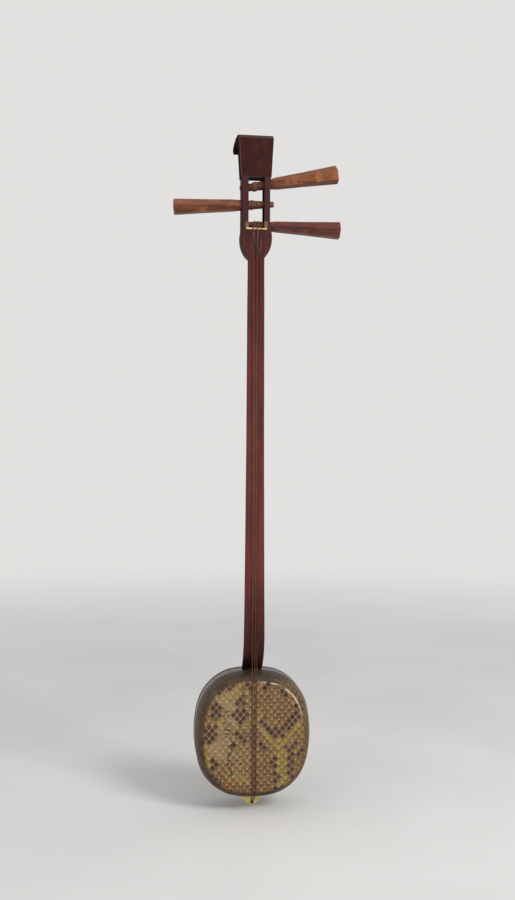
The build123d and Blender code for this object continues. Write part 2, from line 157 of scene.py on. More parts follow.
class Shader:
    """One material under construction."""

    def __init__(self, name):
        self.material = bpy.data.materials.new(name)
        self.material.use_nodes = True
        self.tree = self.material.node_tree
        self.tree.nodes.clear()
        self.place = self.add("ShaderNodeTexCoord", output="Object")

    def add(self, kind, settings=None, sockets=None, output=0):
        node = self.tree.nodes.new(kind)
        for key, value in (settings or {}).items():
            if key == "stops":
                self.set_stops(node.color_ramp, value)
            else:
                setattr(node, key, value)
        for key, value in (sockets or {}).items():
            if isinstance(value, Value):
                self.tree.links.new(value.socket, node.inputs[key])
            else:
                node.inputs[key].default_value = value
        return Value(self, node.outputs[output])

    def set_stops(self, ramp, stops):
        while len(ramp.elements) < len(stops):
            ramp.elements.new(1.0)
        for element, (position, colour) in zip(ramp.elements, stops):
            element.position = position
            element.color = colour

    def axes(self, vector=None):
        """The three parts of a vector, of the object's own place when none is given."""
        split = self.add("ShaderNodeSeparateXYZ", {}, {0: vector or self.place})
        return split.out("X"), split.out("Y"), split.out("Z")

    def vector(self, x, y, z):
        return self.add("ShaderNodeCombineXYZ", {}, {0: x, 1: y, 2: z})

    def attribute(self, name):
        """Three numbers that a mesh carries at each point."""
        return self.axes(self.add("ShaderNodeAttribute", {"attribute_name": name}, output="Vector"))

    def noise(self, vector, scale, detail=4.0, roughness=0.55, distortion=0.0):
        sockets = {"Vector": vector, "Scale": scale, "Detail": detail}
        sockets.update({"Roughness": roughness, "Distortion": distortion})
        return self.add("ShaderNodeTexNoise", {}, sockets)

    def mix(self, factor, first, second, blend="MIX"):
        settings = {"data_type": "RGBA", "blend_type": blend}
        return self.add("ShaderNodeMix", settings, {0: factor, 6: first, 7: second}, output=2)

    def bump(self, height, distance, strength=1.0, under=None):
        sockets = {"Strength": strength, "Distance": distance, "Height": height}
        if under is not None:
            sockets["Normal"] = under
        return self.add("ShaderNodeBump", {}, sockets)

    def finish(self, colour, roughness, normal, dull=None, **plain):
        """The surface itself. Plain values are the same all over; dull marks where a dark matt layer of painted shade
        goes.
        """
        sockets = {"Base Color": colour, "Roughness": roughness, "Normal": normal}
        sockets.update({key.replace("_", " "): value for key, value in plain.items()})
        surface = self.add("ShaderNodeBsdfPrincipled", {}, sockets)
        if dull is not None:
            # Painted shade: where dull is set, a nearly black matt copy of the surface stands in for shade.
            painted_shade_colour = self.mix(0.82, colour, paint(16, 8, 7))
            matt = {"Base Color": painted_shade_colour, "Roughness": 0.9, "Specular IOR Level": 0.0, "Normal": normal}
            matt = self.add("ShaderNodeBsdfPrincipled", {}, matt)
            surface = self.add("ShaderNodeMixShader", {}, {0: dull, 1: surface, 2: matt})
        self.add_output(surface)
        return self.material

    def add_output(self, surface):
        node = self.tree.nodes.new("ShaderNodeOutputMaterial")
        self.tree.links.new(surface.socket, node.inputs["Surface"])


# %% [markdown]
# The studio is a wide pale floor under the instrument and a pale surround. The floor
# takes the shadow near the instrument and fades into the surround further out, so that
# no horizon shows. The surround is pale to the camera and to anything that mirrors it,
# and its light on the object stays at the plain level of a white room.

# %% Floor and surround
FLOOR_HEIGHT = -0.772
FLOOR_RADIUS = 9.0
PALE = paint(226, 225, 223)
LEVEL = 0.56

floor_mesh = bpy.data.meshes.new("floor")
disc = bmesh.new()
bmesh.ops.create_circle(disc, cap_ends=True, segments=96, radius=FLOOR_RADIUS)
disc.to_mesh(floor_mesh)
disc.free()
floor = bpy.data.objects.new("floor", floor_mesh)
floor.location = (0, 0, FLOOR_HEIGHT)
scene.collection.objects.link(floor)

boards = Shader("pale_floor")
x, y, z = boards.axes()
spread = boards.add("ShaderNodeVectorMath", {"operation": "LENGTH"}, {0: boards.place}, output=1)
mottle = boards.noise(boards.place, 3.0)
pale_board = boards.mix(mottle.ramp(0.3, 0.7), paint(222, 221, 219), paint(229, 228, 226))
matt = boards.add("ShaderNodeBsdfDiffuse", {}, {"Color": pale_board})
glow = boards.add("ShaderNodeEmission", {}, {"Color": PALE, "Strength": 1.0})
boards.add_output(boards.add("ShaderNodeMixShader", {}, {0: spread.ramp(0.5, 3.0), 1: matt, 2: glow}))
floor_mesh.materials.append(boards.material)

world = bpy.data.worlds.new("surround")
scene.world = world
world.use_nodes = True
sky = world.node_tree
sky.nodes.clear()
rays = sky.nodes.new("ShaderNodeLightPath")
seen = sky.nodes.new("ShaderNodeMath")
seen.operation = "MAXIMUM"
seen_all = sky.nodes.new("ShaderNodeMath")
seen_all.operation = "MAXIMUM"
sky.links.new(rays.outputs["Is Camera Ray"], seen.inputs[0])
sky.links.new(rays.outputs["Is Glossy Ray"], seen.inputs[1])
sky.links.new(seen.outputs[0], seen_all.inputs[0])
sky.links.new(rays.outputs["Is Transmission Ray"], seen_all.inputs[1])
room = sky.nodes.new("ShaderNodeBackground")
room.inputs["Color"].default_value = (1, 1, 1, 1)
room.inputs["Strength"].default_value = LEVEL
wall = sky.nodes.new("ShaderNodeBackground")
wall.inputs["Color"].default_value = PALE
wall.inputs["Strength"].default_value = 1.0
both = sky.nodes.new("ShaderNodeMixShader")
sky.links.new(seen_all.outputs[0], both.inputs[0])
sky.links.new(room.outputs[0], both.inputs[1])
sky.links.new(wall.outputs[0], both.inputs[2])
world_end = sky.nodes.new("ShaderNodeOutputWorld")
sky.links.new(both.outputs[0], world_end.inputs["Surface"])
print("floor at", FLOOR_HEIGHT)

# %% [markdown]
# In the photograph a soft light from the upper right models the pegs and the shoulder of
# the drum, and a weaker one fills from the left. Two area lamps do the same here, large
# and close enough that their shadows stay soft.

# %% Lamps
def add_lamp(name, place, size, power, aim):
    """A square soft box that points at a place."""
    data = bpy.data.lights.new(name, "AREA")
    data.size = size
    data.energy = power
    lamp = bpy.data.objects.new(name, data)
    lamp.location = place
    lamp.rotation_euler = (Vector(aim) - Vector(place)).to_track_quat("-Z", "Y").to_euler()
    scene.collection.objects.link(lamp)
    return lamp


add_lamp("key_lamp", (1.3, -1.5, 0.9), 0.8, 32, (0, 0, -0.35))
add_lamp("fill_lamp", (-1.4, -1.3, 0.1), 1.1, 7, (0, 0, -0.4))

# %% [markdown]
# The stick and the head are one kind of dark red hardwood. Its grain runs along the
# stick in long streaks with short dark pores, hands have rubbed the front of the neck
# to a warmer, brighter red, and the foot and the head are darker. Painted shade darkens
# the inside of the peg slot, the side faces, the left of the foot and the back of the
# head, and a painted highlight runs along the head's upper edge. The streaks are noise
# that is stretched along the grain: squeezing the place before the noise does that.

# %% Red-brown hardwood
def hardwood(name, dark, light, streak_share=1.0):
    """A shader with wood streaks along Z, and its streak and pore values."""
    wood = Shader(name)
    x, y, z = wood.axes()
    along = wood.vector(x * 1.0, y * 1.0, z * 0.045)
    fine = wood.noise(along, 520.0, 5.0, 0.6)
    broad = wood.noise(along, 120.0, 3.0, 0.5, 0.6)
    pores = wood.noise(wood.vector(x, y, z * 0.02), 1500.0, 2.0, 0.5)
    streak = broad * 0.6 + fine * 0.4
    colour = wood.mix(streak.ramp(0.38, 0.62) * streak_share, dark, light)
    pore = pores.ramp(0.6, 0.68)
    colour = wood.mix(pore * 0.45, colour, paint(24, 12, 12))
    return wood, (x, y, z), streak, pore, colour


def make_neck_wood():
    wood, (x, y, z), streak, pore, colour = hardwood("neck_wood", paint(60, 21, 20), paint(88, 35, 32))
    front = y.ramp(0.0005, 0.004, 1.0, 0.0)
    rubbed = front * z.ramp(-0.04, -0.2) * z.ramp(-0.54, -0.42)
    patch = wood.noise(wood.vector(x * 2, y, z * 0.5), 26.0, 3.0)
    colour = wood.mix(rubbed * patch.ramp(0.2, 0.6) * 0.8, colour, paint(112, 52, 46))
    middle = x.apply("ABSOLUTE").ramp(0.0045, 0.0015)
    colour = wood.mix(rubbed * middle * 0.35, colour, paint(118, 86, 68))
    foot = z.ramp(-0.44, -0.565)
    colour = wood.mix(foot * 0.7, colour, paint(42, 15, 12))
    # Painted shade: the left of the foot, just above the drum, goes nearly black.
    colour = wood.mix(z.ramp(-0.545, -0.562) * x.ramp(0.002, -0.004) * 0.8, colour, paint(22, 11, 8))
    cheek = z.ramp(-0.01, 0.045)
    colour = wood.mix(cheek * 0.7, colour, paint(46, 17, 17))
    worn = wood.noise(wood.place, 230.0, 4.0)
    beside_nut = front * x.apply("ABSOLUTE").ramp(0.0098, 0.0112) * x.apply("ABSOLUTE").ramp(0.0164, 0.0148)
    low = (z - 0.0465).apply("ABSOLUTE").ramp(0.0062, 0.0035)
    colour = wood.mix(beside_nut * low * worn.ramp(0.3, 0.5) * 0.85, colour, paint(128, 98, 72))
    fingered = front * z.ramp(0.0, 0.022) * z.ramp(0.041, 0.034) * x.apply("ABSOLUTE").ramp(0.0088, 0.0066)
    lines = wood.noise(wood.vector(x, y, z * 0.12), 300.0, 3.0)
    colour = wood.mix(fingered * lines.ramp(0.46, 0.6) * 0.6, colour, paint(118, 88, 70))
    # Painted shade: the inside of the peg slot and the side faces, more so near the head and the foot, get the dark
    # matt layer.
    inside = z.ramp(0.0445, 0.047) * y.ramp(0.0, 0.003) * x.apply("ABSOLUTE").ramp(0.0122, 0.0114)
    facing = wood.axes(wood.add("ShaderNodeTexCoord", output="Normal"))[0].apply("ABSOLUTE")
    side = facing.ramp(0.45, 0.85) * (z.ramp(-0.02, 0.01).most(foot) * 0.3 + 0.35)
    roughness = 0.36 + streak * 0.12 + pore * 0.25 - rubbed * 0.06
    height = streak * 0.6 - pore * 0.8
    normal = wood.bump(height, 0.00012, 0.7)
    return wood.finish(colour, roughness, normal, dull=inside.most(side), Specular_IOR_Level=0.18)


def make_head_wood():
    wood, (x, y, z), streak, pore, colour = hardwood("head_wood", paint(46, 16, 13), paint(62, 24, 19), 0.8)
    top = wood.noise(wood.vector(x, y * 0.6, z), 60.0, 4.0, 0.6)
    colour = wood.mix(top.ramp(0.45, 0.7) * 0.5, colour, paint(34, 12, 10))
    warm = (x - 0.004).apply("ABSOLUTE").ramp(0.0, 0.02, 1.0, 0.0) * z.ramp(0.115, 0.135)
    colour = wood.mix(warm * top.ramp(0.6, 0.4) * 0.45, colour, paint(72, 30, 26))
    # Painted highlight: a pale band along the head's upper edge, where the rounded top catches the light.
    painted_top_highlight = z.ramp(0.1655, 0.168) * z.ramp(0.173, 0.171)
    colour = wood.mix(painted_top_highlight * 0.5, colour, paint(80, 48, 40))
    roughness = 0.42 + streak * 0.1 + pore * 0.2
    height = streak * 0.4 - pore * 0.5 + top * 0.5
    # Painted shade: the curled-back part of the head gets the dark matt layer.
    shaded = y.ramp(0.004, 0.009)
    normal = wood.bump(height, 0.00012, 0.6)
    return wood.finish(colour, roughness, normal, dull=shaded * 0.85, Specular_IOR_Level=0.1)


def dress(material, *names):
    """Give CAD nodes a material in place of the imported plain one."""
    for name in names:
        slots = nodes[name].data.materials
        slots.clear()
        slots.append(material)
        for face in nodes[name].data.polygons:
            face.material_index = 0


dress(make_neck_wood(), "neck")
dress(make_head_wood(), "head")
print("dressed the stick and the head")

# %% [markdown]
# The pegs are a paler orange wood, each cut to six facets with a knife and handled for
# years. Their grain runs along each peg, across the instrument, so the squeeze is along
# X. The bottom peg comes from a redder piece. Rubbed patches are paler, the upper facets
# carry painted sheen with some dust, and the lower facets painted shade.

# %% Peg wood
def make_peg_wood(name, dark, light, worn, dust_and_sheen):
    """Streaked wood, paler in rubbed patches, with painted sheen and dust on the upper facets and painted shade on the
    lower ones.
    """
    wood = Shader(name)
    x, y, z = wood.axes()
    along = wood.vector(x * 0.06, y, z)
    fine = wood.noise(along, 620.0, 5.0, 0.62)
    broad = wood.noise(along, 150.0, 3.0, 0.5, 0.8)
    streak = broad * 0.55 + fine * 0.45
    colour = wood.mix(streak.ramp(0.4, 0.62), dark, light)
    pores = wood.noise(wood.vector(x * 0.03, y, z), 1700.0, 2.0)
    pore = pores.ramp(0.6, 0.67)
    colour = wood.mix(pore * 0.3, colour, paint(58, 28, 18))
    patch = wood.noise(wood.place, 48.0, 4.0, 0.6)
    colour = wood.mix(patch.ramp(0.5, 0.7) * 0.55, colour, worn)
    upward = wood.axes(wood.add("ShaderNodeTexCoord", output="Normal"))[2]
    # Painted sheen with some dust on the upper facets; painted shade on the lower facets.
    colour = wood.mix(upward.ramp(0.1, 0.5) * 0.45, colour, dust_and_sheen)
    colour = wood.mix(upward.ramp(-0.25, -0.6) * 0.5, colour, dark)
    grime = wood.noise(wood.place, 90.0, 4.0)
    # The shaft inside the peg box is darkened as painted shade, and the grime noise adds dirt.
    shaft = x.apply("ABSOLUTE").ramp(0.0215, 0.0195)
    colour = wood.mix(shaft * 0.45 + grime.ramp(0.56, 0.75) * 0.3, colour, paint(60, 32, 22))
    # Painted shade: the left end of the top peg, beyond the cheek, goes dark.
    colour = wood.mix(x.ramp(-0.0182, -0.0194) * z.over(0.088) * 0.8, colour, paint(34, 18, 14))
    roughness = 0.38 + streak * 0.14 + pore * 0.2
    cuts = wood.noise(wood.vector(x * 0.35, y * 0.6, z * 0.6), 180.0, 2.0)
    height = streak * 0.5 - pore * 0.8 + cuts * 1.2
    return wood.finish(colour, roughness, wood.bump(height, 0.0002, 0.8), Specular_IOR_Level=0.35)


orange_wood = make_peg_wood("peg_wood", paint(74, 34, 16), paint(132, 74, 38), paint(178, 110, 58), paint(130, 82, 62))
red_wood = make_peg_wood("red_peg_wood", paint(70, 28, 22), paint(114, 54, 42), paint(142, 78, 60), paint(98, 50, 44))
dress(orange_wood, "peg_top", "peg_middle")
dress(red_wood, "peg_bottom")
print("dressed the pegs")

# %% [markdown]
# The drum's wall is four bent staves of a nearly black varnished wood, seen only as a
# dark line round the skin and across the top and bottom.

# %% Black wood of the drum
def make_black_wood():
    wood = Shader("black_wood")
    x, y, z = wood.axes()
    turn = wood.add("ShaderNodeMath", {"operation": "ARCTAN2"}, {0: x, 1: z + 0.665})
    along = wood.vector(turn * 0.01, y, turn * 0.004)
    grain = wood.noise(along, 900.0, 5.0, 0.6)
    colour = wood.mix(grain.ramp(0.4, 0.62), paint(26, 20, 18), paint(52, 38, 32))
    scuffs = wood.noise(wood.place, 70.0, 5.0, 0.65)
    colour = wood.mix(scuffs.ramp(0.58, 0.7) * 0.5, colour, paint(84, 66, 54))
    roughness = 0.3 + scuffs * 0.2
    return wood.finish(colour, roughness, wood.bump(grain + scuffs, 0.0001, 0.6), Coat_Weight=0.3,
                       Coat_Roughness=0.2)


dress(make_black_wood(), "frame_top", "frame_bottom", "frame_left", "frame_right")
print("dressed the staves")

# %% [markdown]
# The nut and the tail button are bone: cream, yellowed with age, with fine brown lines
# along the fibres and a polish on what sticks out.

# %% Bone
def make_bone(name, stretch, tone):
    bone = Shader(name)
    x, y, z = bone.axes()
    fibres = bone.noise(bone.vector(x * stretch[0], y * stretch[1], z * stretch[2]), 900.0, 4.0, 0.6)
    clouds = bone.noise(bone.place, 160.0, 4.0, 0.6)
    colour = bone.mix(clouds.ramp(0.35, 0.68), tone, paint(236, 216, 148))
    colour = bone.mix(fibres.ramp(0.56, 0.68) * 0.55, colour, paint(128, 92, 50))
    stain = bone.noise(bone.place, 60.0, 3.0)
    colour = bone.mix(stain.ramp(0.5, 0.72) * 0.3, colour, paint(150, 110, 62))
    roughness = 0.26 + fibres * 0.2
    return bone.finish(colour, roughness, bone.bump(fibres * -1.0 + clouds, 0.0001, 0.6),
                       Coat_Weight=0.2, Coat_Roughness=0.2)


dress(make_bone("bone_button", (0.12, 1.0, 1.0), paint(224, 198, 118)), "tail_button")
dress(make_bone("bone_nut", (0.1, 1.0, 1.0), paint(196, 158, 96)), "nut")
print("dressed the nut and the button")

# %% [markdown]
# The drum's outline is four broad arcs joined by four corner arcs. A skin follows it as
# one sheet, stretched wet: a flat face, a rounded shoulder and a lap down the wall. It is
# built here as rings of points round that outline, close enough together that every
# scale can have relief of its own. All lengths in these cells are millimetres.

# %% Outline and section of the drum
MM = 1000.0
DRUM_Z = -665.0
DRUM_DEPTH = 66.0
HALF_WIDTH, HALF_HEIGHT, CORNER = 82.5, 89.5, 66.0
CORNER_START, CORNER_END = math.radians(14), math.radians(80)
FACE_INSET, SHOULDER, LAP, SKIN = 13.0, 9.0, 21.0, 0.9
SHOULDER_TURN = math.radians(72)
POINT_STEP = 0.75


def drum_outline():
    """Points round the drum as (centre x, centre z, radius, angle) of the arc they lie on."""
    cs, ss = math.cos(CORNER_START), math.sin(CORNER_START)
    ce, se = math.cos(CORNER_END), math.sin(CORNER_END)
    p = CORNER * (cs - ce) - HALF_WIDTH
    q = CORNER * (ss - se) + HALF_HEIGHT
    share = (cs - 1) * (1 - se) + ce * ss
    side = (p * (1 - se) + ce * q) / share
    end = ((cs - 1) * q - ss * p) / share
    arcs = [(HALF_WIDTH - side, 0.0, side, 0.0, CORNER_START)]
    arcs.append(((end - CORNER) * ce, (side - CORNER) * ss, CORNER, CORNER_START, CORNER_END))
    arcs.append((0.0, HALF_HEIGHT - end, end, CORNER_END, math.pi / 2))
    quarter = []
    for x, z, radius, start, stop in arcs:
        count = round(radius * (stop - start) / POINT_STEP)
        quarter += [(x, z, radius, start + (stop - start) * k / count) for k in range(count)]
    quarter.append((0.0, HALF_HEIGHT - end, end, math.pi / 2))
    top = quarter + [(-x, z, r, math.pi - a) for x, z, r, a in reversed(quarter[:-1])]
    return top + [(x, -z, r, -a) for x, z, r, a in reversed(top[1:-1])]


def skin_profile(offset):
    """The section from the face's edge to the lap as (inset, depth, outward, forward)."""
    radius = SHOULDER - offset
    rows = []
    for i in range(15):
        turn = SHOULDER_TURN * i / 14
        rows.append((FACE_INSET - radius * math.sin(turn), SHOULDER - radius * math.cos(turn),
                     math.sin(turn), math.cos(turn)))
    inset, depth = rows[-1][:2]
    reach = DRUM_DEPTH / 2 - depth
    sagitta = inset - offset
    bulge = (reach ** 2 + sagitta ** 2) / (2 * sagitta)
    for i in range(1, 17):
        here = depth + (LAP - depth) * i / 16
        forward = (DRUM_DEPTH / 2 - here) / bulge
        outward = math.sqrt(1 - forward ** 2)
        rows.append((offset + bulge * (1 - outward), here, outward, forward))
    return rows


OUTLINE = drum_outline()
print("points round the drum", len(OUTLINE))

# %% [markdown]
# The snakeskin is what this instrument is known for. Its scales are diamonds in a
# lattice. Each scale has one colour, so the colour is asked for at the scale's own
# centre: first round the place to the lattice, then look up what kind of patch the
# centre lies in. A patch is a stroke, as a brush would lay it: all points nearer to a
# line than its width.

# %% Scale lattice and strokes
SCALE_WIDTH = 9.7
SCALE_HEIGHT = 10.4


def smooth(value, low, high):
    """A soft step from 0 at low to 1 at high."""
    share = min(max((value - low) / (high - low), 0.0), 1.0)
    return share * share * (3 - 2 * share)


def stroke_share(x, z, strokes, soft):
    """1 inside any stroke, 0 outside."""
    most = 0.0
    for x0, z0, x1, z1, radius in strokes:
        run_x, run_z = x1 - x0, z1 - z0
        share = ((x - x0) * run_x + (z - z0) * run_z) / (run_x ** 2 + run_z ** 2)
        share = min(max(share, 0.0), 1.0)
        away = math.hypot(x - x0 - share * run_x, z - z0 - share * run_z)
        most = max(most, smooth(away, radius + soft, radius - soft))
    return most


def lattice_rows(x, z):
    """Which two slanting rows of scales a place lies in, whole numbers at a scale's centre."""
    x += 1.6 * noise.noise(Vector((x, 0, z)) * 0.035)
    return x / SCALE_WIDTH + z / SCALE_HEIGHT, x / SCALE_WIDTH - z / SCALE_HEIGHT


# %% [markdown]
# These strokes are laid out from the photograph: chains of dark scales that
# outline the blotches, the yellow bands between them, the pale patch that is worn and
# flaking on the left, and the purplish mark where a bridge once stood. Each row is the
# two ends of the stroke and its half width, in millimetres from the drum's middle.

# %% Strokes of the pattern
DARK_STROKES = [
    (9.3, 22.7, 28.8, 2.5, 5.6), (28.8, 2.5, 52.4, 18.6, 5.6), (33.0, 7.9, 37.9, 1.1, 4.9),
    (52.4, 18.6, 63.2, 33.4, 5.0), (63.2, 33.4, 61.1, 43.5, 4.4), (36.9, 62.4, 46.3, 56.3, 4.2),
    (15.4, 67.8, 20.8, 71.8, 4.0), (22.1, 77.9, 32.2, 73.2, 5.9), (-56.9, 47.6, -61.7, 40.6, 4.6),
    (-50.7, 40.6, -51.5, 29.4, 4.4), (-52.6, 18.6, -52.6, 17.3, 4.4), (-56.9, 34.1, -56.5, 33.4, 4.4),
    (-53.3, 7.9, -67.4, -2.9, 5.4), (-66.0, 7.9, -58.6, 13.9, 4.6), (-67.4, -2.9, -73.4, -5.6, 4.4),
    (-25.0, 74.5, -45.2, 65.8, 5.4), (-12.2, 72.5, -8.8, 67.8, 4.2), (-14.2, 53.0, -20.3, 48.3, 4.6),
    (-26.3, 32.1, -19.2, 36.8, 4.4), (-16.0, 32.6, -20.8, 26.0, 5.0), (-11.1, 26.7, -16.9, 21.1, 5.0),
    (-23.7, 6.5, -12.9, -3.6, 4.4), (-30.8, -9.6, -27.0, -13.0, 3.8), (-57.3, -35.2, -57.7, -46.0, 4.8),
    (-58.0, -54.7, -52.6, -60.1, 4.4), (28.7, -29.4, 27.9, -38.3, 4.4), (29.5, -49.3, 29.1, -70.9, 4.6),
    (9.3, -7.6, 14.0, -12.3, 3.8), (10.0, -17.0, 10.7, -17.7, 3.4), (58.4, -7.6, 46.6, -19.7, 5.0),
    (53.1, -24.4, 47.7, -32.5, 4.8), (52.7, -36.3, 52.7, -46.6, 5.0), (49.7, -53.4, 50.4, -54.7, 4.4),
    (65.2, -21.1, 66.5, -27.8, 4.0),
]
YELLOW_STROKES = [
    (-21.0, 70.5, -29.0, 62.4, 7), (-14.2, 66.4, -13.6, 61.7, 4.5), (-45.9, 62.4, -44.5, 61.7, 4.5),
    (-68.1, -11.6, -62.7, -39.9, 4), (-45.2, 31.4, -49.2, 12.6, 5), (65.2, 27.4, 61.1, 20.7, 4),
    (12.7, 9.9, 22.1, 0.5, 4), (36.9, -34.5, 39.6, -64.1, 7.5), (42.3, -4.9, 35.6, -27.8, 7),
    (3.3, 23.4, 10.0, 13.9, 4), (45.0, -26.4, 45.0, -35.9, 4), (-29.0, 42.2, -27.7, 43.5, 4),
    (-16.9, 18.0, -8.8, 15.3, 5), (-31.7, -52.0, -14.2, -58.7, 6), (50.4, 4.5, 62.5, 12.6, 5),
    (26.1, -7.6, 42.3, -7.6, 5),
]
PALE_STROKES = [
    (-35.8, 50.3, -30.4, 20.7, 9), (-45.2, 12.6, -38.5, -25.1, 10), (-56.0, -14.3, -45.2, -22.4, 8),
    (-29.0, 61.0, -45.2, 53.0, 8),
]
BROWN_STROKES = [
    (23.5, 50.3, 39.6, 31.4, 22), (16.7, -21.1, 18.1, -68.2, 9), (65.2, 19.3, 67.9, -14.3, 4.5),
    (-51.9, -54.7, -14.2, -73.6, 8), (7.3, -41.2, 4.6, -73.6, 7),
]
ORANGE_STROKES = [(-64.0, 30.1, -65.4, 15.3, 4.5), (61.1, -26.4, 58.4, -38.6, 5), (-46.5, -64.1, -33.1, -66.8, 5)]
BRIDGE_MARK = [(-10.9, 2.5, 6.6, 2.5, 5.5), (-2.0, 16.0, -1.0, -12.0, 3.5)]
CRACK_STROKES = [(-37, 42, -39, 18, 4.0), (-39, 18, -36, -6, 4.5), (-36, -6, -33, -28, 4.0), (-33, -28, -33, -50, 4.5)]
print("strokes", len(DARK_STROKES + YELLOW_STROKES + PALE_STROKES + BROWN_STROKES))

# %% [markdown]
# Each point of the sheet carries what the finish needs to know about its scale: the two
# rows it lies in, the kind of patch at the scale's centre, and how worn the place is.
# The relief is real: a scale stands 0.15 mm proud of the furrows, its lower edge highest,
# like a roof tile. The shoulder is stretched smooth and gathered in shallow folds.

# %% Skins with real scales
RINGS = 100
RELIEF = 0.17
INNER_SHARES = (0.999, 0.66, 0.33)


def scale_kind(first, second, known):
    """What one scale is: dark, yellow, brown, orange, and a chance number of its own."""
    cell = (round(first), round(second))
    if cell not in known:
        pick = random.Random(cell[0] * 1009 + cell[1])
        x = (cell[0] + cell[1]) * SCALE_WIDTH / 2 + pick.uniform(-1.0, 1.0)
        z = (cell[0] - cell[1]) * SCALE_HEIGHT / 2 + pick.uniform(-1.0, 1.0)
        kinds = [stroke_share(x, z, DARK_STROKES, 0.8), stroke_share(x, z, YELLOW_STROKES, 2.5)]
        kinds += [stroke_share(x, z, BROWN_STROKES, 3.5), stroke_share(x, z, ORANGE_STROKES, 2.0)]
        known[cell] = kinds + [pick.random()]
    return known[cell]


def scale_height(first, second):
    """How high the skin stands inside one scale, 0 in the furrow and 1 at the lower edge."""
    a, b = first - round(first), second - round(second)
    edge = (abs(2 * a) ** 4 + abs(2 * b) ** 4) ** 0.25
    return smooth(edge, 1.0, 0.68) * (0.72 - 0.28 * (a - b))


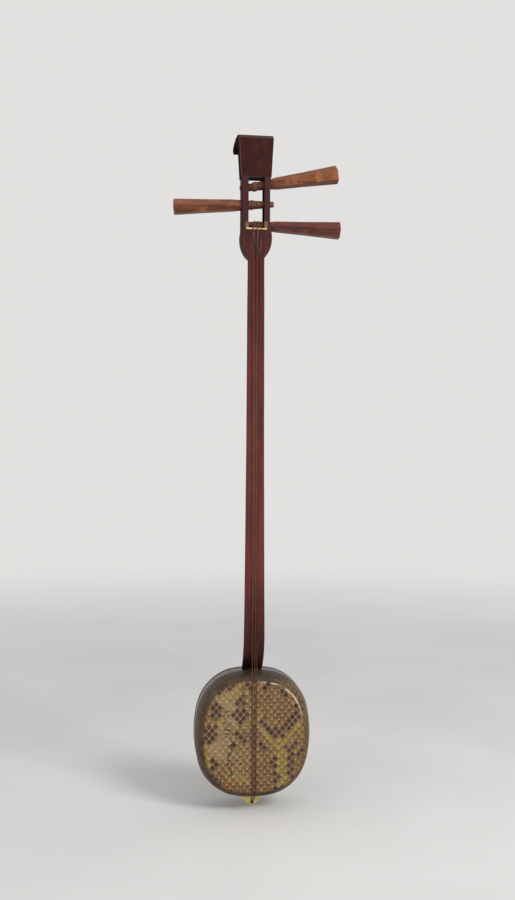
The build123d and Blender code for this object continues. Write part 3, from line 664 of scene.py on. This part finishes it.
def make_skin(name, node, flip):
    """One skin as a closed sheet. The back skin is the same kind of skin, turned over."""
    side = -1.0 if flip else 1.0
    profile = skin_profile(0.0)
    inner = skin_profile(SKIN)
    form = bmesh.new()
    marks = []
    known = {}

    def add_point(k, inset, depth, outward, forward, flat_x, flat_z, rim, sunk):
        """One point at an inset from the outline, sunk along the surface's normal."""
        x, z, radius, angle = OUTLINE[k]
        inset += outward * sunk
        depth += forward * sunk
        reach = radius - inset
        y = DRUM_DEPTH - depth if flip else depth
        place = Vector((x + reach * math.cos(angle), y, DRUM_Z + z + reach * math.sin(angle)))
        first, second = lattice_rows(flat_x * side, flat_z * side)
        marks.append((first, second, flat_x * side, flat_z * side, rim))
        return form.verts.new(place / MM)

    def face_point(k, share, depth):
        """One point of the flat face, at a share of the way from its middle to its edge."""
        x, z, radius, angle = OUTLINE[k]
        reach = radius - FACE_INSET
        flat_x = share * (x + reach * math.cos(angle))
        flat_z = share * (z + reach * math.sin(angle))
        first, second = lattice_rows(flat_x * side, flat_z * side)
        pale = stroke_share(flat_x * side, flat_z * side, PALE_STROKES, 4.0)
        ripple = 0.5 + 0.5 * noise.noise(Vector((flat_x, flat_z, 4.0)) * 0.3)
        flake = smooth(noise.noise(Vector((flat_x, flat_z, 9.0)) * 0.28), -0.05, 0.12) * pale
        sunk = RELIEF * (1 - scale_height(first, second) * (1 - 0.5 * pale)) + 0.05 * ripple
        sunk += 0.08 * flake
        if depth == 0.0:
            depth = 0.01 + sunk
        y = DRUM_DEPTH - depth if flip else depth
        marks.append((first, second, flat_x * side, flat_z * side, smooth(share, 0.955, 1.0) * 0.5))
        return form.verts.new(Vector((flat_x, y, DRUM_Z + flat_z)) / MM)

    rings = []
    for i in range(1, RINGS + 1):
        rings.append([face_point(k, (i / RINGS) ** 0.9, 0.0) for k in range(len(OUTLINE))])
    run = 0.0
    for i, (inset, depth, outward, forward) in enumerate(profile[1:], 1):
        run += math.hypot(inset - profile[i - 1][0], depth - profile[i - 1][1])
        rim = 0.5 + 0.5 * smooth(run, 0.0, 3.5)
        ring = []
        for k in range(len(OUTLINE)):
            x, z, radius, angle = OUTLINE[k]
            reach = radius - FACE_INSET + run
            flat_x = x + reach * math.cos(angle)
            flat_z = z + reach * math.sin(angle)
            first, second = lattice_rows(flat_x * side, flat_z * side)
            fold = noise.noise(Vector((math.cos(angle) * 9 + x * 0.1, math.sin(angle) * 9 + z * 0.1, run * 0.05)))
            sunk = 0.02 + RELIEF * 0.45 * (1 - scale_height(first, second))
            sunk += 0.1 * smooth(abs(fold), 0.14, 0.0) * smooth(run, 1.0, 6.0)
            lap_edge = 0.5 * (1 + noise.noise(Vector((flat_x, flat_z, 2.0)) * 0.12))
            drawn_back = lap_edge * smooth(depth, LAP - 3.0, LAP)
            ring.append(add_point(k, inset, depth - drawn_back, outward, forward, flat_x, flat_z, rim, sunk))
        rings.append(ring)
    for inset, depth, outward, forward in reversed(inner):
        ring = []
        for k in range(len(OUTLINE)):
            x, z, radius, angle = OUTLINE[k]
            reach = radius - inset
            flat = (x + reach * math.cos(angle), z + reach * math.sin(angle))
            back_off = 1.0 if depth > LAP - 0.5 else 0.0
            ring.append(add_point(k, inset, depth - back_off, outward, forward, *flat, 1.0, 0.0))
        rings.append(ring)
    for share in INNER_SHARES:
        rings.append([face_point(k, share, SKIN) for k in range(len(OUTLINE))])

    count = len(OUTLINE)
    for a, b in zip(rings, rings[1:]):
        for k in range(count):
            form.faces.new((a[k], a[(k + 1) % count], b[(k + 1) % count], b[k]))
    for ring in (rings[0], rings[-1]):
        middle = form.verts.new(sum((v.co for v in ring), Vector()) / count)
        marks.append((*lattice_rows(0.0, 0.0), 0.0, 0.0, 0.0))
        for k in range(count):
            form.faces.new((ring[k], ring[(k + 1) % count], middle))
    bmesh.ops.recalc_face_normals(form, faces=form.faces[:])
    mesh = bpy.data.meshes.new(name)
    form.to_mesh(mesh)
    form.free()

    rows, kinds, more, zone, wear = [], [], [], [], []
    for first, second, x, z, rim in marks:
        dark, yellow, brown, orange, chance = scale_kind(first, second, known)
        rows += (first, second, chance)
        kinds += (dark, yellow, brown)
        more += (orange, stroke_share(x, z, CRACK_STROKES, 2.5), stroke_share(x, z, BRIDGE_MARK, 3.0))
        zone += (x, z, rim)
        wear += (stroke_share(x, z, PALE_STROKES, 4.0), 0.0, 0.0)
    lists = {"scale_rows": rows, "scale_kind": kinds, "scale_more": more, "skin_zone": zone, "skin_wear": wear}
    for label, values in lists.items():
        layer = mesh.attributes.new(label, "FLOAT_VECTOR", "POINT")
        layer.data.foreach_set("vector", values)
    for face in mesh.polygons:
        face.use_smooth = True
    mesh.set_sharp_from_angle(angle=math.radians(50))
    skin = bpy.data.objects.new(name, mesh)
    scene.collection.objects.link(skin)
    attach(skin, "instrument")
    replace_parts(skin, node)
    print(name, len(mesh.polygons), "faces,", len(known), "scales")
    return skin


# %% [markdown]
# A dark scale is a rounded purple-brown spot in a cream net. A tan scale is lighter than
# the net, with a painted highlight at its lower edge and painted shade on its upper part.
# Over the shoulder the skin is greyish brown and smooth, partly worn and stretched and
# partly painted shade, darkest along the top, and a painted highlight runs along the upper
# right edge of the face. The pale patch on the left is flaking.

# %% Snakeskin
def make_snakeskin():
    skin = Shader("snakeskin")
    first, second, chance = skin.attribute("scale_rows")
    dark, yellow, brown = skin.attribute("scale_kind")
    orange, cracked, mark = skin.attribute("scale_more")
    across, up, rim = skin.attribute("skin_zone")
    pale, _, _ = skin.attribute("skin_wear")
    here = skin.vector(across, up, 0.0)
    a = first - first.apply("ROUND")
    b = second - second.apply("ROUND")
    edge = ((a * 2.0).apply("ABSOLUTE") ** 4.0 + (b * 2.0).apply("ABSOLUTE") ** 4.0) ** 0.25
    net = edge.ramp(0.62, 0.94)
    spot = edge.ramp(0.98, 0.74)
    # Painted highlight at each scale's lower edge, and painted shade on its upper part.
    painted_glint = (a - b).ramp(-0.25, -0.6) * edge.ramp(0.95, 0.75)
    shade = (a - b).ramp(0.2, 0.8)

    tan = skin.mix(chance, paint(140, 118, 86), paint(164, 142, 100))
    tan = skin.mix(brown * 0.8, tan, skin.mix(chance, paint(118, 88, 60), paint(148, 114, 78)))
    tan = skin.mix(yellow * 0.85, tan, skin.mix(chance, paint(152, 136, 74), paint(176, 158, 86)))
    tan = skin.mix(orange * 0.7, tan, paint(150, 98, 56))
    # The furrow colour on the net is partly the skin's own and partly painted shade between the scales.
    furrow = skin.mix(yellow, paint(92, 66, 46), paint(120, 100, 54))
    colour = skin.mix((net * 0.85).most(shade * 0.6), tan, furrow)
    # Fine specks: partly the skin's granules and partly painted shade and painted highlights on the scales.
    speckle = skin.noise(here, 0.42, 2.0, 0.7)
    colour = skin.mix(speckle.ramp(0.53, 0.66) * 0.6, colour, paint(84, 56, 36))
    colour = skin.mix(speckle.ramp(0.46, 0.34) * 0.5, colour, paint(204, 178, 126))
    colour = skin.mix(dark * 0.75, colour, skin.mix(chance, paint(150, 138, 102), paint(166, 152, 108)))
    colour = skin.mix(dark * spot, colour, skin.mix(chance, paint(60, 42, 44), paint(84, 58, 60)))

    flakes = skin.noise(here, 0.16, 5.0, 0.65, 0.8)
    worn = pale * flakes.ramp(0.34, 0.5) * (1.0 - dark * spot * 0.9)
    beige = skin.mix(flakes.ramp(0.4, 0.7), paint(150, 134, 104), paint(176, 160, 122))
    colour = skin.mix(worn * 0.8, colour, beige)
    cracks = skin.add("ShaderNodeTexVoronoi", {"feature": "DISTANCE_TO_EDGE"}, {"Vector": here, "Scale": 0.09})
    crack = cracks.ramp(0.085, 0.03) * cracked * flakes.ramp(0.36, 0.44)
    smoky = skin.noise(here, 0.05, 4.0, 0.6)
    colour = skin.mix(smoky.ramp(0.45, 0.7) * 0.3, colour, paint(118, 98, 84))
    colour = skin.mix(mark * 0.5, colour, paint(112, 78, 84))
    dull = skin.noise(here, 0.08, 4.0, 0.6)
    # The shoulder's greyish brown is partly worn, stretched skin and partly painted shade, weaker on the right where
    # the light falls.
    shoulder = skin.mix(dull.ramp(0.35, 0.65), paint(58, 48, 38), paint(90, 76, 58))
    shoulder_wear_and_shade = rim.ramp(0.3, 0.9) * across.ramp(70.0, 20.0, 0.55, 1.0)
    colour = skin.mix(shoulder_wear_and_shade * 0.9, colour, shoulder)
    # Painted shade: the top of the shoulder, which faces up, is darkened.
    colour = skin.mix(rim.ramp(0.4, 0.9) * up.ramp(68.0, 90.0) * 0.55, colour, paint(44, 36, 30))
    colour = skin.mix(1.0, colour, (0.80, 0.71, 0.62, 1.0), "MULTIPLY")
    colour = skin.mix(crack * 0.85, colour, paint(50, 34, 28))
    colour = skin.mix(painted_glint * (1.0 - rim) * (1.0 - dark) * 0.55, colour, paint(208, 184, 132))
    # Painted highlight: a pale line along the upper right edge of the face, where the shoulder catches the light.
    painted_edge_highlight = (rim - 0.42).apply("ABSOLUTE").ramp(0.2, 0.05) * up.ramp(18.0, 45.0) * across.ramp(2.0, 22.0)
    colour = skin.mix(painted_edge_highlight * dull.ramp(0.4, 0.5) * 0.75, colour, paint(216, 202, 170))
    grain = skin.noise(here, 1.6, 4.0, 0.6)
    height = grain * 0.6 - crack * 0.8 + dull * 0.4
    roughness = 0.5 + net * 0.14 - painted_glint * 0.1 + worn * 0.12 - rim * 0.06
    return skin.finish(colour, roughness, skin.bump(height, 0.00012, 0.7), Specular_IOR_Level=0.25)


snakeskin = make_snakeskin()
for name, node, flip in (("front_snakeskin", "front_skin", False), ("back_snakeskin", "back_skin", True)):
    make_skin(name, node, flip).data.materials.append(snakeskin)

# %% [markdown]
# The strings and the turns on the pegs are twisted silk. Each is a rope of three strands,
# so its section is a three-lobed flower that turns as it goes along. The path comes from
# a NURBS curve with a few control points on the real route, read back as a line of
# points, and the flower is swept along it.

# %% Ropes of silk
LOBES = 3
RING = 12


def curve_points(control, resolution=12):
    """Points along a smooth curve through the route of a cord."""
    data = bpy.data.curves.new("route", "CURVE")
    data.dimensions = "3D"
    data.resolution_u = resolution
    spline = data.splines.new("NURBS")
    spline.points.add(len(control) - 1)
    for point, place in zip(spline.points, control):
        point.co = (*place, 1.0)
    spline.order_u = 3
    spline.use_endpoint_u = True
    carrier = bpy.data.objects.new("route", data)
    line = bpy.data.meshes.new_from_object(carrier)
    points = [v.co.copy() for v in line.vertices]
    bpy.data.objects.remove(carrier)
    bpy.data.curves.remove(data)
    bpy.data.meshes.remove(line)
    return points


def even_points(points, step):
    """The same line with points at equal steps."""
    lengths = [0.0]
    for a, b in zip(points, points[1:]):
        lengths.append(lengths[-1] + (b - a).length)
    count = max(2, round(lengths[-1] / step))
    even = []
    k = 0
    for i in range(count + 1):
        want = lengths[-1] * i / count
        while k < len(points) - 2 and lengths[k + 1] < want:
            k += 1
        share = (want - lengths[k]) / max(lengths[k + 1] - lengths[k], 1e-12)
        even.append(points[k].lerp(points[k + 1], min(share, 1.0)))
    return even, lengths[-1]


def sweep_rope(name, points, radius, pitch, body, material):
    """A twisted three-strand rope along points, as a closed mesh that rides on a body."""
    step = pitch / 8
    line, length = even_points(points, step)
    form = bmesh.new()
    rings = []
    side = None
    for i, centre in enumerate(line):
        ahead = (line[min(i + 1, len(line) - 1)] - line[max(i - 1, 0)]).normalized()
        if side is None:
            side = ahead.orthogonal()
        side = (side - ahead * side.dot(ahead)).normalized()
        other = ahead.cross(side)
        twist = math.tau * i * step / pitch
        ring = []
        for k in range(RING):
            angle = math.tau * k / RING
            reach = radius * (0.86 + 0.14 * math.cos(LOBES * angle))
            turn = angle + twist
            ring.append(form.verts.new(centre + reach * (math.cos(turn) * side + math.sin(turn) * other)))
        rings.append(ring)
    for a, b in zip(rings, rings[1:]):
        for k in range(RING):
            form.faces.new((a[k], a[(k + 1) % RING], b[(k + 1) % RING], b[k]))
    form.faces.new(list(reversed(rings[0])))
    form.faces.new(rings[-1])
    bmesh.ops.recalc_face_normals(form, faces=form.faces[:])
    mesh = bpy.data.meshes.new(name)
    form.to_mesh(mesh)
    form.free()
    mesh.materials.append(material)
    for face in mesh.polygons:
        face.use_smooth = True
    rope = bpy.data.objects.new(name, mesh)
    scene.collection.objects.link(rope)
    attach(rope, body)
    print(name, "length", round(length * MM, 1), "mm,", len(mesh.polygons), "faces")
    return rope


# %% [markdown]
# Old silk has gone brown, darker where fingers and rosin have reached it. The strings
# over the neck look nearly black, and the turns on the pegs are paler where they are
# frayed. A fine noise across the strands gives the fibres their sheen.

# %% Silk
def make_silk(name, dark, light, frayed):
    silk = Shader(name)
    fibres = silk.noise(silk.place, 2600.0, 3.0, 0.6)
    patch = silk.noise(silk.place, 130.0, 4.0, 0.6)
    colour = silk.mix(fibres.ramp(0.35, 0.65), dark, light)
    colour = silk.mix(patch.ramp(0.52, 0.7) * 0.6, colour, frayed)
    roughness = 0.5 + fibres * 0.2
    normal = silk.bump(fibres, 0.00006, 0.7)
    return silk.finish(colour, roughness, normal, Sheen_Weight=0.1, Sheen_Roughness=0.4, Specular_IOR_Level=0.3)


string_silk = make_silk("string_silk", paint(64, 32, 27), paint(102, 61, 50), paint(126, 86, 66))
winding_silk = make_silk("winding_silk", paint(92, 56, 40), paint(146, 100, 68), paint(184, 142, 100))

# %% [markdown]
# Each string goes from the tie below the drum over the drum's rounded lower edge, straight
# up the skin and the neck, over the nut and down to the bottom peg. The control points are
# the tie, three points round the edge, one close below the nut that keeps the long run
# straight, two at the nut's crown and the end on the peg. All in millimetres.

# %% Strings
STRING_ROUTES = {
    "thick": (0.65, [(-1.33, 24.6, -763.9), (-2.9, 3.44, -749.93), (-3.1, -0.8, -746.8), (-3.1, -1.1, -741.0),
                     (-4.77, -1.81, 33.9), (-4.8, -1.81, 41.2), (-4.7, -1.5, 42.3), (-1.3, 3.94, 51.35)]),
    "medium": (0.55, [(0.0, 24.6, -763.9), (0.0, 3.46, -749.82), (0.0, -0.7, -746.7), (0.0, -1.0, -741.0),
                      (0.69, -1.71, 35.1), (0.7, -1.71, 41.2), (0.8, -1.4, 42.3), (2.7, 4.02, 51.22)]),
    "thin": (0.45, [(1.29, 24.6, -763.9), (2.0, 3.48, -749.72), (2.1, -0.6, -746.6), (2.1, -0.9, -741.0),
                    (6.08, -1.61, 36.3), (6.1, -1.61, 41.2), (6.1, -1.3, 42.3), (6.1, 4.14, 51.11)]),
}
for name, (radius, corners) in STRING_ROUTES.items():
    route = curve_points([Vector(corner) / MM for corner in corners], 24)
    rope = sweep_rope("silk_" + name, route, radius / MM, 0.0048, "instrument", string_silk)
    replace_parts(rope, "string_" + name)

# %% [markdown]
# Below the drum the three strings are tied off. The end of the thick one is whipped round
# the others in three flat turns, and its last few millimetres hang over the button.

# %% Tie at the tail
tie_turns = []
for k in range(25):
    angle = math.tau * k / 8
    tie_turns.append((1.9 * math.cos(angle), 24.6 + 0.7 * math.sin(angle), -763.5 - 0.8 * k / 8))
tie_turns.append((0.3, 24.3, -766.6))
tie_route = curve_points([Vector(point) / MM for point in tie_turns])
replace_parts(sweep_rope("silk_tie", tie_route, 0.00045, 0.0028, "instrument", string_silk), "string_knot")

# %% [markdown]
# The turns that are left on the two upper pegs, and the turns of the three strings on the
# bottom peg, are ropes wound in a screw line. Each peg is a cone, so the radius grows
# towards the handle. They ride on their pegs and turn with them.

# %% Turns on the pegs
PEG_Y = 0.0105
TURN_POINTS = 16
# height, side of the handle, tilt, place of the handle's shoulder, shaft radius there, taper
PEG_SPECS = {
    "top": (0.1022, 1, 10.5, 0.0207, 0.0070, 0.062),
    "middle": (0.0764, -1, -3.4, 0.0220, 0.0074, 0.074),
    "bottom": (0.0474, 1, -1.5, 0.0207, 0.0066, 0.055),
}


def peg_point(peg, across, angle, lift):
    """A place on a peg's shaft: across the instrument, angle round it, lift off the wood."""
    height, side, tilt, shoulder, root, taper = PEG_SPECS[peg]
    tilt = math.radians(tilt)
    axis = Vector((side * math.cos(tilt), 0, math.sin(tilt)))
    along = side * across
    radius = root - taper * (shoulder - along) + lift
    front = Vector((0, -1, 0))
    up = Vector((0, 0, 1))
    return Vector((0, PEG_Y, height)) + axis * along + radius * (math.cos(angle) * front + math.sin(angle) * up)


def screw_route(peg, first, turns, radius, start_angle=0.0, lift=0.00008):
    """Control points of touching turns, from the place first towards the right."""
    total = round(turns * TURN_POINTS)
    swell = 1 / math.cos(math.pi / TURN_POINTS)
    route = []
    for k in range(total + 1):
        angle = start_angle + math.tau * k / TURN_POINTS
        across = first + 2 * radius * 1.02 * k / TURN_POINTS
        reach = PEG_SPECS[peg][4] * (swell - 1)
        route.append(peg_point(peg, across, angle, radius + lift + reach))
    return route


TURN_SPECS = [
    # name, peg, replaced node, first place, turns, radius
    ("turns_top", "top", "winding_top", -0.0044, 5, 0.00051),
    ("turns_middle", "middle", "winding_middle", -0.0062, 1.5, 0.00051),
    ("turns_bottom_thick", "bottom", "winding_bottom", -0.0026, 2, 0.00065),
    ("turns_bottom_medium", "bottom", "winding_bottom", 0.0016, 2, 0.00055),
    ("turns_bottom_thin", "bottom", "winding_bottom", 0.0052, 2, 0.00045),
]
for name, peg, node, first, turns, radius in TURN_SPECS:
    route = curve_points(screw_route(peg, first, turns, radius))
    rope = sweep_rope(name, route, radius, radius * 6.5, "peg_" + peg + "_turning", winding_silk)
    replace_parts(rope, node)
